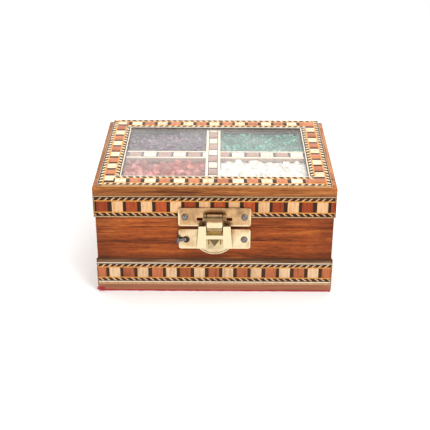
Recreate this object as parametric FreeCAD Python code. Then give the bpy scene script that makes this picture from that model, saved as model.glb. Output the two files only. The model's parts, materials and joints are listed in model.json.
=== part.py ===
"""Inlaid wooden box with a glass-topped lid, a divided tray and a brass push catch.

Millimetres, +Z up, +Y to the back. The origin is the middle of the underside.
"""
import FreeCAD, Part
import math
import os

from FreeCAD import Vector

# Overall sizes of the box
lid_width = 150.0
lid_depth = 107.0
board_overhang = 1.0
split_height = 46.6
lid_wall_height = 21.9
board_thickness = 5.6

# Base and walls
felt_thickness = 1.2
felt_overhang = 0.3
base_thickness = 4.0
body_wall = 8.0
lid_wall = 4.8
lid_back_wall = 8.0

# Inlay frame on top of the lid and the glass that it holds down
inlay_thickness = 1.6
inlay_width = 13.25
inlay_side_margin = 3.2
inlay_end_margin = 1.0
glass_thickness = 1.0
glass_lap = 2.0
glass_clearance = 0.2

# Inlaid bands round the lid and the body
band_thickness = 0.8
lid_band_height = 14.6
body_band_height = 16.1
band_bevel_height = 2.8
band_bevel_edge = 0.1

# Divided tray that stands in the body and reaches up into the lid
tray_wall = 3.0
tray_floor_thickness = 2.0
tray_clearance = 0.2
tray_headroom = 0.5
divider_thickness = 5.0
centre_divider_x = -1.4
cross_divider_y = -2.5
centre_cap_width = 9.4
cross_cap_width = 10.5
cap_thickness = 3.0
cap_end_clearance = 0.5
cap_glass_gap = 0.3
window_front_clearance = 1.8

# Loose contents of the four compartments
fill_clearance = 0.4
fill_shoulder_drop = 0.6
fill_edge_drop = 3.6
fill_point_spacing = 6.5
grain_lump_height = 0.8
chunk_lump_height = 2.0
lump_least_share = 0.6
lump_column_turn = 2.4
lump_row_turn = 1.7

# Hinges at the back
hinge_spacing = 84.0
hinge_length = 24.0
hinge_leaf_height = 6.8
hinge_leaf_thickness = 0.8
hinge_leaf_gap = 0.25
barrel_radius = 1.6
barrel_wall_gap = 0.3
knuckle_gap = 0.2
pin_radius = 0.8
pin_clearance = 0.05
pin_head_radius = 1.2
pin_head_length = 0.6
leaf_nail_inset = 4.0

# Brass catch at the front
plate_thickness = 0.9
plate_corner = 1.5
upper_plate_length = 45.2
upper_plate_height = 12.7
upper_plate_lift = 1.7
lower_plate_length = 45.0
lower_plate_height = 14.0
lower_plate_drop = 0.8
lobe_radius = 12.0
lobe_drop = 2.8
bridge_standoff = 4.0
bridge_thickness = 1.0
bridge_top_lift = 3.8
bridge_bottom_lift = 2.8
bridge_top_half_width = 9.9
bridge_bottom_half_width = 11.2
bridge_leg_thickness = 1.0
bridge_leg_top_inset = 0.4
crossbar_drop = 2.5
crossbar_height = 2.8
tongue_width = 9.6
tongue_side_clearance = 0.4
tongue_thickness = 0.8
tongue_press_gap = 1.2
tongue_end_lift = 0.1
tongue_knuckle_radius = 2.1
tongue_knuckle_lift = 9.4
tongue_knuckle_gap = 0.3
tongue_upper_bend_lift = 2.9
tongue_lower_bend_drop = 1.0
stud_width = 7.0
stud_height = 1.0
stud_lift = 4.9
ear_thickness = 1.2
ear_gap = 0.4
ear_radius = 1.6
slot_length = 3.5
slot_height = 2.0
slot_lift = 5.6
slot_start = 7.4

# Nails of the catch and of the hinges
catch_nail_x = 18.5
upper_nail_lift = 8.0
lower_nail_drop = 8.1
catch_nail_radius = 0.8
catch_nail_head_radius = 2.1
catch_nail_head_height = 1.4
catch_nail_depth = 3.6
leaf_nail_radius = 0.5
leaf_nail_head_radius = 1.2
leaf_nail_head_height = 0.7
leaf_nail_depth = 4.0
nail_clearance = 0.05

# Levels worked out from the sizes above
floor_level = felt_thickness + base_thickness
lid_wall_top = split_height + lid_wall_height
board_top = lid_wall_top + board_thickness
inlay_top = board_top + inlay_thickness
glass_top = board_top + glass_thickness
tray_floor_top = floor_level + tray_floor_thickness
tray_top = lid_wall_top - tray_headroom
cap_top = board_top - cap_glass_gap
cap_bottom = cap_top - cap_thickness
fill_shoulder = tray_top - fill_shoulder_drop
fill_edge = board_top - fill_edge_drop

# Half sizes of the walls, the window and the tray
wall_half_x = lid_width / 2 - board_overhang
wall_half_y = lid_depth / 2 - board_overhang
window_half_x = lid_width / 2 - inlay_side_margin - inlay_width
window_half_y = lid_depth / 2 - inlay_end_margin - inlay_width
tray_half_x = wall_half_x - body_wall - tray_clearance
tray_half_y = wall_half_y - body_wall - tray_clearance
room_half_x = tray_half_x - tray_wall
room_half_y = tray_half_y - tray_wall

# Front faces of the catch's layers, counted towards -Y
wall_front = -wall_half_y
lid_band_front = wall_front - band_thickness
upper_plate_front = lid_band_front - plate_thickness
lower_plate_front = wall_front - plate_thickness
bridge_back = lower_plate_front - bridge_standoff
bridge_front = bridge_back - bridge_thickness
tab_back = lower_plate_front - tongue_press_gap
tab_front = tab_back - tongue_thickness
knuckle_y = upper_plate_front - tongue_knuckle_gap - tongue_knuckle_radius
knuckle_z = split_height + tongue_knuckle_lift
upper_plate_bottom = split_height + upper_plate_lift
lower_plate_top = split_height - lower_plate_drop
lower_plate_bottom = lower_plate_top - lower_plate_height
upper_nail_z = split_height + upper_nail_lift
lower_nail_z = split_height - lower_nail_drop

# Hinge axis and nail rows at the back
wall_back = wall_half_y
hinge_y = wall_back + barrel_wall_gap + barrel_radius
hinge_centres = (-hinge_spacing / 2, hinge_spacing / 2)
leaf_nail_offset = hinge_leaf_height * 0.6
catch_nail_places = (-catch_nail_x, catch_nail_x)


def block(x_range, y_range, z_range):
    """Box between two limits on each axis."""
    corner = Vector(x_range[0], y_range[0], z_range[0])
    size = [high - low for low, high in (x_range, y_range, z_range)]
    return Part.makeBox(size[0], size[1], size[2], corner)


def fuse_all(shapes):
    """One clean solid from shapes that overlap or share faces."""
    return shapes[0].multiFuse(shapes[1:]).removeSplitter()


def rod(x_range, y, z, radius):
    """Round bar along X."""
    start = Vector(x_range[0], y, z)
    return Part.makeCylinder(radius, x_range[1] - x_range[0], start, Vector(1, 0, 0))


def outline_prism(points_xz, y_range):
    """Flat outline in the XZ plane given a thickness along Y."""
    corners = [Vector(x, y_range[0], z) for x, z in points_xz]
    face = Part.Face(Part.makePolygon(corners + corners[:1]))
    return face.extrude(Vector(0, y_range[1] - y_range[0], 0))


def side_profile(points_yz, x_range):
    """Profile in the YZ plane given a length along X."""
    corners = [Vector(x_range[0], y, z) for y, z in points_yz]
    face = Part.Face(Part.makePolygon(corners + corners[:1]))
    return face.extrude(Vector(x_range[1] - x_range[0], 0, 0))


def plan_prism(points_xy, z_range):
    """Outline in the XY plane given a height along Z."""
    corners = [Vector(x, y, z_range[0]) for x, y in points_xy]
    face = Part.Face(Part.makePolygon(corners + corners[:1]))
    return face.extrude(Vector(0, 0, z_range[1] - z_range[0]))


def nail(x, z, seat_y, way_out, radius, head_radius, head_height, depth):
    """Nail driven along Y with a domed head standing on seat_y; way_out is -1 or 1."""
    shank = Part.makeCylinder(radius, depth, Vector(x, seat_y, z), Vector(0, -way_out, 0))
    rim_height = head_height * 0.4
    outward = Vector(0, way_out, 0)
    rim = Part.makeCylinder(head_radius, rim_height, Vector(x, seat_y, z), outward)
    crown_base = Vector(x, seat_y + way_out * rim_height, z)
    crown = Part.makeCone(head_radius, head_radius * 0.5, head_height - rim_height, crown_base, outward)
    return fuse_all([shank, rim, crown])


def nail_hole(x, z, radius, y_range):
    """Round hole along Y for a nail shank."""
    start = Vector(x, y_range[0], z)
    return Part.makeCylinder(radius + nail_clearance, y_range[1] - y_range[0], start, Vector(0, 1, 0))


def catch_nail_holes(z):
    """Holes of one row of catch nails, right through the plate, band and part of the wall."""
    reach = (bridge_front, wall_front + catch_nail_depth)
    return [nail_hole(x, z, catch_nail_radius, reach) for x in catch_nail_places]


def leaf_nail_places(side):
    """Centres of the hinge nails of the lid leaves (side 1) or the body leaves (side -1)."""
    z = split_height + side * leaf_nail_offset
    offset = hinge_length / 2 - leaf_nail_inset
    return [(centre + way * offset, z) for centre in hinge_centres for way in (-1, 1)]


def leaf_nail_holes(side):
    """Holes for the hinge nails through the leaves and into the back wall."""
    reach = (wall_back - leaf_nail_depth, wall_back + hinge_leaf_thickness)
    return [nail_hole(x, z, leaf_nail_radius, reach) for x, z in leaf_nail_places(side)]


def four_walls(prefix, z_range, front, side, back):
    """Front and back walls over the full width with the side walls between them."""
    full = (-wall_half_x, wall_half_x)
    between = (-wall_half_y + front, wall_half_y - back)
    return {
        prefix + "_front_wall": block(full, (-wall_half_y, -wall_half_y + front), z_range),
        prefix + "_back_wall": block(full, (wall_half_y - back, wall_half_y), z_range),
        prefix + "_left_wall": block((-wall_half_x, -wall_half_x + side), between, z_range),
        prefix + "_right_wall": block((wall_half_x - side, wall_half_x), between, z_range),
    }


def band_profile(z_low, z_face, z_high, bevel_edge):
    """Cross-section of a band as (distance from the wall, level) points."""
    points = [(0.0, z_low), (band_thickness, z_low), (band_thickness, z_face)]
    if z_high > z_face:
        points += [(bevel_edge, z_high), (0.0, z_high)]
    else:
        points += [(0.0, z_face)]
    return points


def band_ring(prefix, profile):
    """Four strips with mitred ends that carry one profile round the walls."""
    strips = {}
    for name, turn, reach, half in (
        ("front", 0, wall_half_y, wall_half_x),
        ("right", 90, wall_half_x, wall_half_y),
        ("back", 180, wall_half_y, wall_half_x),
        ("left", 270, wall_half_x, wall_half_y),
    ):
        outer = half + band_thickness
        strip = side_profile([(-reach - out, z) for out, z in profile], (-outer, outer))
        face = -reach - band_thickness
        mitres = [(-half, -reach), (half, -reach), (outer, face), (-outer, face)]
        strip = strip.common(plan_prism(mitres, (0, lid_wall_top)))
        strip.rotate(Vector(0, 0, 0), Vector(0, 0, 1), turn)
        strips[prefix + "_" + name + "_band"] = strip
    return strips


def base():
    """Board that closes the underside and the felt glued below it."""
    felt_half_x = wall_half_x + felt_overhang
    felt_half_y = wall_half_y + felt_overhang
    return {
        "base_felt": block((-felt_half_x, felt_half_x), (-felt_half_y, felt_half_y), (0, felt_thickness)),
        "base_board": block(
            (-wall_half_x, wall_half_x), (-wall_half_y, wall_half_y), (felt_thickness, floor_level)
        ),
    }


def body_shell():
    """Lower walls with the nail holes of the catch and hinges, and the band round them."""
    pieces = four_walls("body", (floor_level, split_height), body_wall, body_wall, body_wall)
    pieces["body_front_wall"] = pieces["body_front_wall"].cut(catch_nail_holes(lower_nail_z))
    pieces["body_back_wall"] = pieces["body_back_wall"].cut(leaf_nail_holes(-1))
    face_top = floor_level + body_band_height
    profile = band_profile(floor_level, face_top, face_top + band_bevel_height, band_bevel_edge)
    pieces.update(band_ring("body", profile))
    return pieces


def tray():
    """Tray walls, the dividers that make four rooms and the inlaid caps on the dividers."""
    full_x = (-tray_half_x, tray_half_x)
    room_y = (-room_half_y, room_half_y)
    upright = (tray_floor_top, tray_top)
    half = divider_thickness / 2
    centre_x = (centre_divider_x - half, centre_divider_x + half)
    cross_y = (cross_divider_y - half, cross_divider_y + half)
    neck = (tray_top, cap_bottom)
    cap_z = (cap_bottom, cap_top)
    cap_centre = (centre_divider_x - centre_cap_width / 2, centre_divider_x + centre_cap_width / 2)
    cap_cross = (cross_divider_y - cross_cap_width / 2, cross_divider_y + cross_cap_width / 2)
    reach_x = window_half_x - cap_end_clearance
    reach_y = (window_front_clearance - window_half_y, window_half_y - cap_end_clearance)
    centre = [block(centre_x, room_y, upright), block(centre_x, reach_y, neck)]
    left_low = block((-room_half_x, centre_x[0]), cross_y, upright)
    left_neck = block((-reach_x, centre_x[0]), cross_y, neck)
    right_low = block((centre_x[1], room_half_x), cross_y, upright)
    right_neck = block((centre_x[1], reach_x), cross_y, neck)
    return {
        "tray_floor": block(full_x, (-tray_half_y, tray_half_y), (floor_level, tray_floor_top)),
        "tray_front_wall": block(full_x, (-tray_half_y, -room_half_y), upright),
        "tray_back_wall": block(full_x, (room_half_y, tray_half_y), upright),
        "tray_left_wall": block((-tray_half_x, -room_half_x), room_y, upright),
        "tray_right_wall": block((room_half_x, tray_half_x), room_y, upright),
        "centre_divider": fuse_all(centre),
        "left_cross_divider": fuse_all([left_low, left_neck]),
        "right_cross_divider": fuse_all([right_low, right_neck]),
        "centre_divider_cap": block(cap_centre, reach_y, cap_z),
        "left_cross_cap": block((-reach_x, cap_centre[0]), cap_cross, cap_z),
        "right_cross_cap": block((cap_centre[1], reach_x), cap_cross, cap_z),
    }


def lump_level(column, row, lump_height):
    """Height of one point of a heap's top: every other point is a lump, and the rest lie level."""
    if (column + row) % 2:
        return fill_edge
    share = (1 + math.sin(lump_column_turn * column + lump_row_turn * row)) / 2
    return fill_edge + lump_height * (lump_least_share + (1 - lump_least_share) * share)


def lumpy_block(x_range, y_range, lump_height):
    """Block that stands on the shoulder of a heap and has a faceted, lumpy top."""
    columns = max(2, round((x_range[1] - x_range[0]) / fill_point_spacing))
    rows = max(2, round((y_range[1] - y_range[0]) / fill_point_spacing))

    def point(column, row):
        x = x_range[0] + (x_range[1] - x_range[0]) * column / columns
        y = y_range[0] + (y_range[1] - y_range[0]) * row / rows
        return Vector(x, y, lump_level(column, row, lump_height))

    shapes = [block(x_range, y_range, (fill_shoulder, fill_edge))]
    for column in range(1, columns):
        for row in range(1, rows):
            if (column + row) % 2 == 0:
                steps = ((1, 0), (0, 1), (-1, 0), (0, -1))
                foot = [point(column + across, row + along) for across, along in steps]
                shapes.append(pyramid(foot, point(column, row)))
    return fuse_all(shapes)


def pyramid(foot, tip):
    """Closed pyramid over a level foot."""
    sides = [Part.makePolygon([a, b, tip, a]) for a, b in zip(foot, foot[1:] + foot[:1])]
    faces = [Part.Face(side) for side in sides] + [Part.Face(Part.makePolygon(foot + foot[:1]))]
    return Part.Solid(Part.makeShell(faces))


def heap(x_range, y_range, lump_height):
    """Loose contents of one room: a straight-sided fill with a lumpy top beside the caps."""
    x_low, x_high = x_range[0] + fill_clearance, x_range[1] - fill_clearance
    y_low, y_high = y_range[0] + fill_clearance, y_range[1] - fill_clearance
    fill = block((x_low, x_high), (y_low, y_high), (tray_floor_top, fill_shoulder))
    lap_x = (centre_cap_width - divider_thickness) / 2
    lap_y = (cross_cap_width - divider_thickness) / 2
    side = window_half_x - cap_end_clearance
    back = window_half_y - cap_end_clearance
    front = window_front_clearance - window_half_y
    seen_x = (max(x_low + lap_x, -side), min(x_high - lap_x, side))
    seen_y = (max(y_low + lap_y, front), min(y_high - lap_y, back))
    return fuse_all([fill, lumpy_block(seen_x, seen_y, lump_height)])


def contents():
    """Four heaps, one in each room of the tray."""
    half = divider_thickness / 2
    left = (-room_half_x, centre_divider_x - half)
    right = (centre_divider_x + half, room_half_x)
    front = (-room_half_y, cross_divider_y - half)
    back = (cross_divider_y + half, room_half_y)
    return {
        "back_left_purple_granules": heap(left, back, grain_lump_height),
        "back_right_green_granules": heap(right, back, grain_lump_height),
        "front_left_red_chunks": heap(left, front, chunk_lump_height),
        "front_right_white_chunks": heap(right, front, chunk_lump_height),
    }


def lid_shell():
    """Lid walls with their nail holes and the band round them."""
    pieces = four_walls("lid", (split_height, lid_wall_top), lid_wall, lid_wall, lid_back_wall)
    pieces["lid_front_wall"] = pieces["lid_front_wall"].cut(catch_nail_holes(upper_nail_z))
    pieces["lid_back_wall"] = pieces["lid_back_wall"].cut(leaf_nail_holes(1))
    band_bottom = lid_wall_top - lid_band_height
    strips = band_ring("lid", band_profile(band_bottom, lid_wall_top, lid_wall_top, 0.0))
    strips["lid_front_band"] = strips["lid_front_band"].cut(catch_nail_holes(upper_nail_z))
    pieces.update(strips)
    return pieces


def lid_top():
    """Rails of the top board, the pane on them and the rebated inlay strips that hold it down."""
    half_x = lid_width / 2
    half_y = lid_depth / 2
    board_z = (lid_wall_top, board_top)
    pane_x = window_half_x + glass_lap
    pane_y = window_half_y + glass_lap
    rebate_x = (-pane_x - glass_clearance, pane_x + glass_clearance)
    rebate_y = (-pane_y - glass_clearance, pane_y + glass_clearance)
    pane_z = (board_top, glass_top)
    rebate = block(rebate_x, rebate_y, pane_z)
    full_x = (-half_x, half_x)
    window_y = (-window_half_y, window_half_y)
    pieces = {
        "lid_front_rail": block(full_x, (-half_y, -window_half_y), board_z),
        "lid_back_rail": block(full_x, (window_half_y, half_y), board_z),
        "lid_left_rail": block((-half_x, -window_half_x), window_y, board_z),
        "lid_right_rail": block((window_half_x, half_x), window_y, board_z),
    }
    pieces["glass_pane"] = block((-pane_x, pane_x), (-pane_y, pane_y), pane_z)
    outer_x = half_x - inlay_side_margin
    outer_y = half_y - inlay_end_margin
    inlay_z = (board_top, inlay_top)
    inner_x = (-window_half_x, window_half_x)
    outer_run = (-outer_y, outer_y)
    strips = {
        "top_front_inlay": block(inner_x, (-outer_y, -window_half_y), inlay_z),
        "top_back_inlay": block(inner_x, (window_half_y, outer_y), inlay_z),
        "top_left_inlay": block((-outer_x, -window_half_x), outer_run, inlay_z),
        "top_right_inlay": block((window_half_x, outer_x), outer_run, inlay_z),
    }
    pieces.update({name: strip.cut(rebate) for name, strip in strips.items()})
    return pieces


def round_corner_plate(half_length, z_range, y_range):
    """Flat plate with its four corners rounded."""
    plate = block((-half_length, half_length), y_range, z_range)
    corners = [edge for edge in plate.Edges if abs(edge.tangentAt(edge.FirstParameter).y) > 0.99]
    return plate.makeFillet(plate_corner, corners)


def catch_upper_plate():
    """Plate on the lid with two slots and the ears that hold the tongue's pin."""
    half = upper_plate_length / 2
    z_range = (upper_plate_bottom, upper_plate_bottom + upper_plate_height)
    plate = round_corner_plate(half, z_range, (upper_plate_front, lid_band_front))
    slot_z = split_height + slot_lift
    ears = []
    slots = []
    for way in (-1, 1):
        ear_start = way * (tongue_width / 2 + ear_gap)
        ear_x = sorted((ear_start, ear_start + way * ear_thickness))
        ear_z = (knuckle_z - ear_radius, knuckle_z + ear_radius)
        ears.append(block(ear_x, (knuckle_y, upper_plate_front), ear_z))
        ears.append(rod(ear_x, knuckle_y, knuckle_z, ear_radius))
        slot_x = sorted((way * slot_start, way * (slot_start + slot_length)))
        slots.append(block(slot_x, (upper_plate_front, lid_band_front), (slot_z, slot_z + slot_height)))
    whole = fuse_all([plate] + ears)
    pin_bore = rod((-half, half), knuckle_y, knuckle_z, pin_radius + pin_clearance)
    return whole.cut([pin_bore] + slots + catch_nail_holes(upper_nail_z))


def catch_lower_plate():
    """Plate on the body with a half-round lobe and the raised bridge over the tongue."""
    half = lower_plate_length / 2
    plate_y = (lower_plate_front, wall_front)
    plate = round_corner_plate(half, (lower_plate_bottom, lower_plate_top), plate_y)
    lobe_centre = Vector(0, lower_plate_front, lower_plate_bottom - lobe_drop + lobe_radius)
    lobe = Part.makeCylinder(lobe_radius, plate_thickness, lobe_centre, Vector(0, 1, 0))
    lobe = lobe.common(block((-half, half), plate_y, (0, lower_plate_top - plate_corner)))
    top = split_height + bridge_top_lift
    bottom = lower_plate_bottom + bridge_bottom_lift
    leg_top = lower_plate_top - bridge_leg_top_inset
    slope = (bridge_bottom_half_width - bridge_top_half_width) / (top - bottom)
    leg_half_width = bridge_bottom_half_width - slope * (leg_top - bottom)
    inner = tongue_width / 2 + tongue_side_clearance
    bridge_y = (bridge_front, bridge_back)
    shapes = [plate, lobe]
    for way in (-1, 1):
        arm = [
            (way * inner, bottom),
            (way * bridge_bottom_half_width, bottom),
            (way * bridge_top_half_width, top),
            (way * inner, top),
        ]
        shapes.append(outline_prism(arm, bridge_y))
        leg = [
            (way * (bridge_bottom_half_width - bridge_leg_thickness), bottom),
            (way * bridge_bottom_half_width, bottom),
            (way * leg_half_width, leg_top),
            (way * (leg_half_width - bridge_leg_thickness), leg_top),
        ]
        shapes.append(outline_prism(leg, (bridge_back, lower_plate_front)))
    crossbar_top = split_height - crossbar_drop
    shapes.append(block((-inner, inner), bridge_y, (crossbar_top - crossbar_height, crossbar_top)))
    return fuse_all(shapes).cut(catch_nail_holes(lower_nail_z))


def catch_tongue():
    """Spring tongue rolled round its pin, cranked behind the crossbar, with a pyramid stud."""
    x_range = (-tongue_width / 2, tongue_width / 2)
    strap_front = knuckle_y - tongue_knuckle_radius
    strap_back = strap_front + tongue_thickness
    upper_bend = split_height + tongue_upper_bend_lift
    lower_bend = split_height - tongue_lower_bend_drop
    end = lower_plate_bottom + tongue_end_lift
    profile = [
        (strap_front, knuckle_z),
        (strap_front, upper_bend),
        (tab_front, lower_bend),
        (tab_front, end),
        (tab_back, end),
        (tab_back, lower_bend + tongue_thickness / 2),
        (strap_back, upper_bend + tongue_thickness / 2),
        (strap_back, knuckle_z),
    ]
    strap = side_profile(profile, x_range)
    roll = rod(x_range, knuckle_y, knuckle_z, tongue_knuckle_radius)
    half = stud_width / 2
    stud_z = lower_plate_bottom + stud_lift
    base_corners = [
        Vector(x, tab_front, stud_z + z)
        for x, z in ((-half, -half), (half, -half), (half, half), (-half, half))
    ]
    base_loop = Part.makePolygon(base_corners + base_corners[:1])
    stud = Part.makeLoft([base_loop, Part.Vertex(0, tab_front - stud_height, stud_z)], True, True)
    bore = rod(x_range, knuckle_y, knuckle_z, pin_radius + pin_clearance)
    return fuse_all([strap, roll, stud]).cut(bore)


def headed_pin(x_range, y, z):
    """Pin along X with a small flat head beyond each end of what it joins."""
    heads = [
        rod((x_range[0] - pin_head_length, x_range[0]), y, z, pin_head_radius),
        rod((x_range[1], x_range[1] + pin_head_length), y, z, pin_head_radius),
    ]
    return fuse_all([rod(x_range, y, z, pin_radius)] + heads)


def hinge_leaves(side):
    """Both leaves of one side: the lid's (side 1) have the middle knuckle, the body's the outer two."""
    leaves = []
    third = hinge_length / 3
    for centre in hinge_centres:
        start = centre - hinge_length / 2
        stop = centre + hinge_length / 2
        middle = (start + third, stop - third)
        outer = [(start, middle[0] - knuckle_gap), (middle[1] + knuckle_gap, stop)]
        own, other = ([middle], outer) if side > 0 else (outer, [middle])
        leaf_z = sorted((split_height + side * hinge_leaf_gap, split_height + side * hinge_leaf_height))
        plate = block((start, stop), (wall_back, wall_back + hinge_leaf_thickness), leaf_z)
        room = []
        for low, high in other:
            span = (low - knuckle_gap, high + knuckle_gap)
            room.append(rod(span, hinge_y, split_height, barrel_radius + barrel_wall_gap))
        plate = plate.cut(room)
        knuckles = [rod(span, hinge_y, split_height, barrel_radius) for span in own]
        bore = rod((start, stop), hinge_y, split_height, pin_radius + pin_clearance)
        leaves.append(fuse_all([plate] + knuckles).cut([bore] + leaf_nail_holes(side)))
    return Part.makeCompound(leaves)


def hinge_pins():
    """One headed pin through each hinge."""
    reach = hinge_length / 2
    spans = [(centre - reach, centre + reach) for centre in hinge_centres]
    return Part.makeCompound([headed_pin(span, hinge_y, split_height) for span in spans])


def leaf_nails(side):
    """Small nails that hold the hinge leaves of one side to the back wall."""
    seat = wall_back + hinge_leaf_thickness
    depth = leaf_nail_depth + hinge_leaf_thickness
    sizes = (leaf_nail_radius, leaf_nail_head_radius, leaf_nail_head_height, depth)
    return Part.makeCompound([nail(x, z, seat, 1, *sizes) for x, z in leaf_nail_places(side)])


def catch_nails(z, plate_front):
    """Two iron nails that hold one plate of the catch."""
    depth = wall_front - plate_front + catch_nail_depth
    sizes = (catch_nail_radius, catch_nail_head_radius, catch_nail_head_height, depth)
    return Part.makeCompound([nail(x, z, plate_front, -1, *sizes) for x in catch_nail_places])


def hardware():
    """Catch, hinges and their nails."""
    ear_reach = tongue_width / 2 + ear_gap + ear_thickness
    return {
        "catch_upper_plate": catch_upper_plate(),
        "catch_upper_nails": catch_nails(upper_nail_z, upper_plate_front),
        "catch_lower_plate": catch_lower_plate(),
        "catch_lower_nails": catch_nails(lower_nail_z, lower_plate_front),
        "catch_tongue": catch_tongue(),
        "catch_tongue_pin": headed_pin((-ear_reach, ear_reach), knuckle_y, knuckle_z),
        "hinge_lid_leaves": hinge_leaves(1),
        "hinge_body_leaves": hinge_leaves(-1),
        "hinge_pins": hinge_pins(),
        "hinge_lid_nails": leaf_nails(1),
        "hinge_body_nails": leaf_nails(-1),
    }


def main():
    """Build every piece and write one file for each."""
    os.makedirs("parts", exist_ok=True)
    pieces = {}
    for group in (base, body_shell, tray, contents, lid_shell, lid_top, hardware):
        pieces.update(group())
    for node, shape in pieces.items():
        shape.exportStep("parts/" + node + ".step")
    press_angle = math.degrees(math.atan2(tongue_press_gap, knuckle_z - lower_plate_bottom))
    print(len(pieces), "pieces; hinge axis at y", hinge_y, "z", split_height)
    print("tongue axis at y", knuckle_y, "z", knuckle_z, "presses in by", round(press_angle, 2), "degrees")


main()
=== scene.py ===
"""Looks of an inlaid wooden box: marquetry, glass-topped lid, filled tray and brass catch."""
import json
import math
import random
from functools import cached_property

import bmesh
import bpy
from mathutils import Matrix, Vector

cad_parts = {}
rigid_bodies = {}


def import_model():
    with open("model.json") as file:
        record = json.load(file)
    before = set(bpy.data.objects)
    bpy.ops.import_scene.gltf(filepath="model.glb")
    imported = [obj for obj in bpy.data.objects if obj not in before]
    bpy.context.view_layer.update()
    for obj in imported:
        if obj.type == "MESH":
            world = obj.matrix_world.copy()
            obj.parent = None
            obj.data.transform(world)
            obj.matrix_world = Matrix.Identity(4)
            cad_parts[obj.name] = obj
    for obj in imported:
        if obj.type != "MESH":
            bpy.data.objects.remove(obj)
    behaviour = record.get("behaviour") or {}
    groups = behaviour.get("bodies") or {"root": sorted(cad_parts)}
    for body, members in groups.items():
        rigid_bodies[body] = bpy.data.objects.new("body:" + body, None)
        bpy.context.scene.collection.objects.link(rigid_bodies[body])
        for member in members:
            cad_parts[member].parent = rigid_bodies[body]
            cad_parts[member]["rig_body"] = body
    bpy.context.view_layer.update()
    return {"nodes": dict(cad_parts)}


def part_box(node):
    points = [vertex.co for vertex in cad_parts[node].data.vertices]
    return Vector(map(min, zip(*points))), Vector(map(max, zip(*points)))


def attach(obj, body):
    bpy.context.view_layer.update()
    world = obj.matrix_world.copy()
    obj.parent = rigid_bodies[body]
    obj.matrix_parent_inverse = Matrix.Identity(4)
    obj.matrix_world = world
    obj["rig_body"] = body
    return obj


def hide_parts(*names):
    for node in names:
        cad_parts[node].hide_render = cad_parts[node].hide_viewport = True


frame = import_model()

bl_info = {
    "name": "Inlaid Wooden Box",
    "version": (1, 0, 0),
    "blender": (4, 5, 0),
    "location": "View3D > Sidebar > Inlaid Box",
    "description": "Dresses an inlaid wooden box with marquetry, glass, brass and loose fillings",
    "category": "Object",
}

MM = 0.001
SIDES = ("front", "right", "back", "left")
FULL_TURN = 2 * math.pi
WHITE = (1, 1, 1)
UPRIGHT = Matrix.Rotation(math.pi / 2, 4, "X")
EDGING_HEIGHT = 2.8 * MM
SEED_STEP = 20
BOARD_ANGLE = 35
METAL_ANGLE = 14
ROUND_ANGLE = 30
WOOL_ANGLE = 60
MATERIALS = {}
TREES = {}


def linear(hex_text):
    """Linear RGB of an sRGB hex colour."""
    channels = [int(hex_text[i:i + 2], 16) / 255 for i in (1, 3, 5)]
    return tuple(c / 12.92 if c <= 0.04045 else ((c + 0.055) / 1.055) ** 2.4 for c in channels)


def opaque(rgb):
    """RGBA of an RGB colour."""
    return (*rgb, 1.0)


def length(name, description, default_mm):
    """Length property with its default in millimetres."""
    return bpy.props.FloatProperty(
        name=name, description=description, default=default_mm * MM, unit="LENGTH", subtype="DISTANCE"
    )


def colour(name, description, hex_text):
    """Colour property with its default as an sRGB hex value."""
    return bpy.props.FloatVectorProperty(
        name=name, description=description, default=linear(hex_text), subtype="COLOR", size=3, min=0, max=1
    )


class BoxWoodSettings(bpy.types.PropertyGroup):
    """Boards of the box."""
    edge_round: length("Edge round", "Rounding of the board edges", 0.45)
    heart: colour("Heartwood", "Main colour of the oiled boards", "#9C4A1C")
    pale: colour("Pale grain", "Lighter bands of the grain", "#B8662A")
    dark: colour("Dark grain", "Darker streaks of the grain", "#4A1E0C")
    lining: colour("Lining wood", "Plain wood of the tray", "#B58A58")
    edging: colour("Edging wood", "Worn edging above the lower band", "#5A3C28")
    edging_pale: colour("Rubbed edging", "Lower part of the edging, rubbed pale", "#8A684E")
    foot: colour("Foot wood", "Plain strip below the lower band", "#C69D76")
    base: colour("Base wood", "Lighter board under the walls", "#A46542")
    rail: colour("Rail wood", "Browner wood of the top board", "#A0602E")
    rail_pale: colour("Pale rail grain", "Lighter grain of the top board", "#BE7C44")
    # Divider wood greyed partly as dust and partly as painted shade under the caps.
    divider: colour("Divider wood", "Dusty wood of the dividers", "#B8A294")
    # Dark colour painted where there is only shade: the window's inner edge and the nail hole.
    painted_shade: colour("Painted shade", "Dark inner edge of the window", "#2A1C14")
    rail_round: length("Rail round", "Worn outer edge of the top board", 1.0)


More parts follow.
